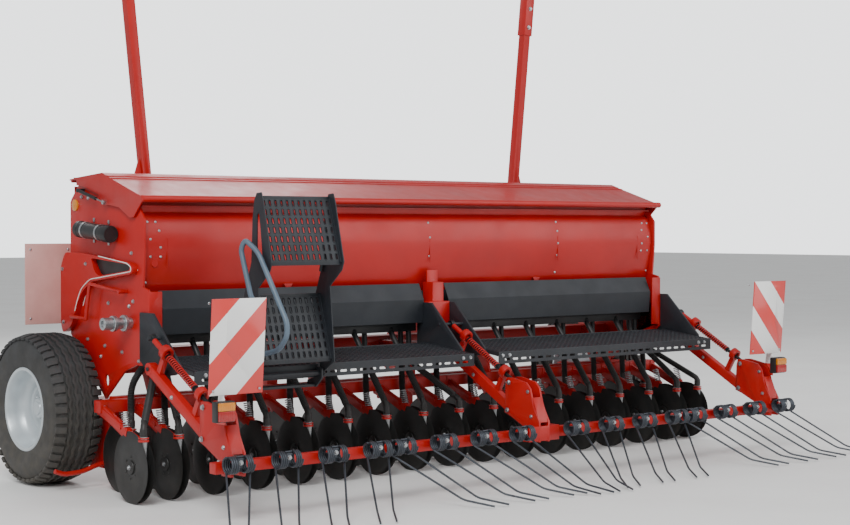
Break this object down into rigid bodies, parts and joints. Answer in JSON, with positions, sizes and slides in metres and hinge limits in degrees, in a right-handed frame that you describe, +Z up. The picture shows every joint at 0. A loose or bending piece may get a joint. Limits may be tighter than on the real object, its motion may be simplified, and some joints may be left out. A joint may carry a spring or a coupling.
{
  "type": "seed drill",
  "caption": "Mounted grain seed drill with a full-width hopper and lid, disc coulters in two rows, folding markers, steps and a following tine harrow.",
  "frame": {"origin": "middle of the machine's overall box, on the ground", "axes": "+X to the machine's right, +Y forwards in the direction of work, +Z up"},
  "size_m": [4.3734, 2.495, 3.2092],
  "materials": {
    "red_paint": "gloss",
    "anthracite_paint": "satin",
    "tyre_rubber": "matte",
    "silver_rim_paint": "satin",
    "zinc_plated_steel": "satin",
    "black_plastic": "matte",
    "black_steel_paint": "satin",
    "reflective_panel": "reflective",
    "amber_lamp": "gloss"
  },
  "bodies": {
    "frame": {"coulters_front": "red_paint", "coulters_rear": "red_paint", "crank_handle": "red_paint", "document_tube": "black_plastic", "drive_cover_left": "red_paint", "drive_hub": "zinc_plated_steel", "guard_panel_left": "reflective_panel", "guard_panel_right": "reflective_panel", "harrow_bracket_left": "anthracite_paint", "harrow_bracket_mid": "anthracite_paint", "harrow_bracket_right": "anthracite_paint", "headstock_left": "red_paint", "headstock_right": "red_paint", "hopper_shell": "red_paint", "main_beam": "red_paint", "marker_crossbar": "red_paint", "metering_cover_left": "anthracite_paint", "metering_cover_right": "anthracite_paint", "metering_housing": "black_plastic", "mid_support": "red_paint", "platform_left": "anthracite_paint", "platform_right": "anthracite_paint", "seed_tubes_left": "black_plastic", "seed_tubes_right": "black_plastic", "side_plate_left": "red_paint", "side_plate_right": "red_paint", "top_link_bracket": "red_paint", "wheel_arm_left": "red_paint", "wheel_arm_right": "red_paint"},
    "wheel_left": {"tyre_left": "tyre_rubber", "rim_left": "silver_rim_paint"},
    "wheel_right": {"tyre_right": "tyre_rubber", "rim_right": "silver_rim_paint"},
    "lid": {"hopper_lid": "red_paint"},
    "strut_barrels": {"lid_strut_barrel_left": "black_plastic", "lid_strut_barrel_right": "black_plastic"},
    "strut_rods": {"lid_strut_rod_left": "zinc_plated_steel", "lid_strut_rod_right": "zinc_plated_steel"},
    "steps": {"access_steps": "anthracite_paint"},
    "harrow_arms": {"harrow_arm_left": "red_paint", "harrow_arm_mid": "red_paint", "harrow_arm_right": "red_paint"},
    "harrow": {"harrow_section_left": "red_paint", "harrow_section_right": "red_paint", "harrow_post_mid": "red_paint", "harrow_post_left": "red_paint", "harrow_post_right": "red_paint", "warning_panel_left": "reflective_panel", "warning_panel_right": "reflective_panel", "rear_lamp_left": "amber_lamp", "rear_lamp_right": "amber_lamp"},
    "harrow_rods": {"harrow_rod_left": "zinc_plated_steel", "harrow_rod_mid": "zinc_plated_steel", "harrow_rod_right": "zinc_plated_steel"},
    "marker_left": {"marker_arm_left": "red_paint"},
    "marker_right": {"marker_arm_right": "red_paint"},
    "marker_disc_left": {"marker_disc_left": "black_steel_paint"},
    "marker_disc_right": {"marker_disc_right": "black_steel_paint"},
    "stand_left": {"front_stand_left": "red_paint"},
    "stand_right": {"front_stand_right": "red_paint"}
  },
  "joints": [
    {"name": "wheel_left_spin", "type": "hinge", "parent": "frame", "child": "wheel_left", "pos_m": [-1.951, 0.86752, 0.38], "axis": [1, 0, 0], "continuous": true},
    {"name": "wheel_right_spin", "type": "hinge", "parent": "frame", "child": "wheel_right", "pos_m": [1.951, 0.86752, 0.38], "axis": [1, 0, 0], "continuous": true},
    {"name": "lid_hinge", "type": "hinge", "parent": "frame", "child": "lid", "pos_m": [0, 0.85852, 1.53], "axis": [-1, 0, 0], "range_deg": [0, 70]},
    {"name": "strut_barrels_pivot", "type": "hinge", "parent": "frame", "child": "strut_barrels", "pos_m": [0, 0.73252, 1.478], "axis": [-1, 0, 0], "range_deg": [0, 89]},
    {"name": "strut_rods_slide", "type": "slide", "parent": "strut_barrels", "child": "strut_rods", "axis": [0, -0.9706, -0.2407], "range_m": [0, 0.1267]},
    {"name": "steps_hinge", "type": "hinge", "parent": "frame", "child": "steps", "pos_m": [-1.3, -0.32248, 0.59], "axis": [1, 0, 0], "range_deg": [0, 96]},
    {"name": "harrow_lift", "type": "hinge", "parent": "frame", "child": "harrow_arms", "pos_m": [0, -0.00848, 0.628], "axis": [1, 0, 0], "range_deg": [-14, 0]},
    {"name": "harrow_level", "type": "hinge", "parent": "harrow_arms", "child": "harrow", "pos_m": [0, -0.50848, 0.35], "axis": [1, 0, 0], "range_deg": [0, 14]},
    {"name": "harrow_rods_pivot", "type": "hinge", "parent": "frame", "child": "harrow_rods", "pos_m": [0, -0.01948, 0.771], "axis": [1, 0, 0], "range_deg": [-14, 0]},
    {"name": "marker_left_fold", "type": "hinge", "parent": "frame", "child": "marker_left", "pos_m": [-1.32, 0.92752, 1.43], "axis": [0, -1, 0], "range_deg": [0, 96]},
    {"name": "marker_right_fold", "type": "hinge", "parent": "frame", "child": "marker_right", "pos_m": [1.32, 0.92752, 1.43], "axis": [0, 1, 0], "range_deg": [0, 96]},
    {"name": "marker_disc_left_spin", "type": "hinge", "parent": "marker_left", "child": "marker_disc_left", "pos_m": [-1.50042, 0.92752, 3.14655], "axis": [-0.1045, 0, 0.9945], "continuous": true},
    {"name": "marker_disc_right_spin", "type": "hinge", "parent": "marker_right", "child": "marker_disc_right", "pos_m": [1.50042, 0.92752, 3.14655], "axis": [0.1045, 0, 0.9945], "continuous": true},
    {"name": "stand_left_slide", "type": "slide", "parent": "frame", "child": "stand_left", "axis": [0, 0, 1], "range_m": [0, 0.25]},
    {"name": "stand_right_slide", "type": "slide", "parent": "frame", "child": "stand_right", "axis": [0, 0, 1], "range_m": [0, 0.25]}
  ],
  "couplings": [
    {"joint": "strut_barrels_pivot", "follows": "lid_hinge", "ratio": 1.2439},
    {"joint": "strut_rods_slide", "follows": "lid_hinge", "m_per_rad": 0.10203},
    {"joint": "harrow_level", "follows": "harrow_lift", "ratio": -1},
    {"joint": "harrow_rods_pivot", "follows": "harrow_lift", "ratio": 1}
  ]
}
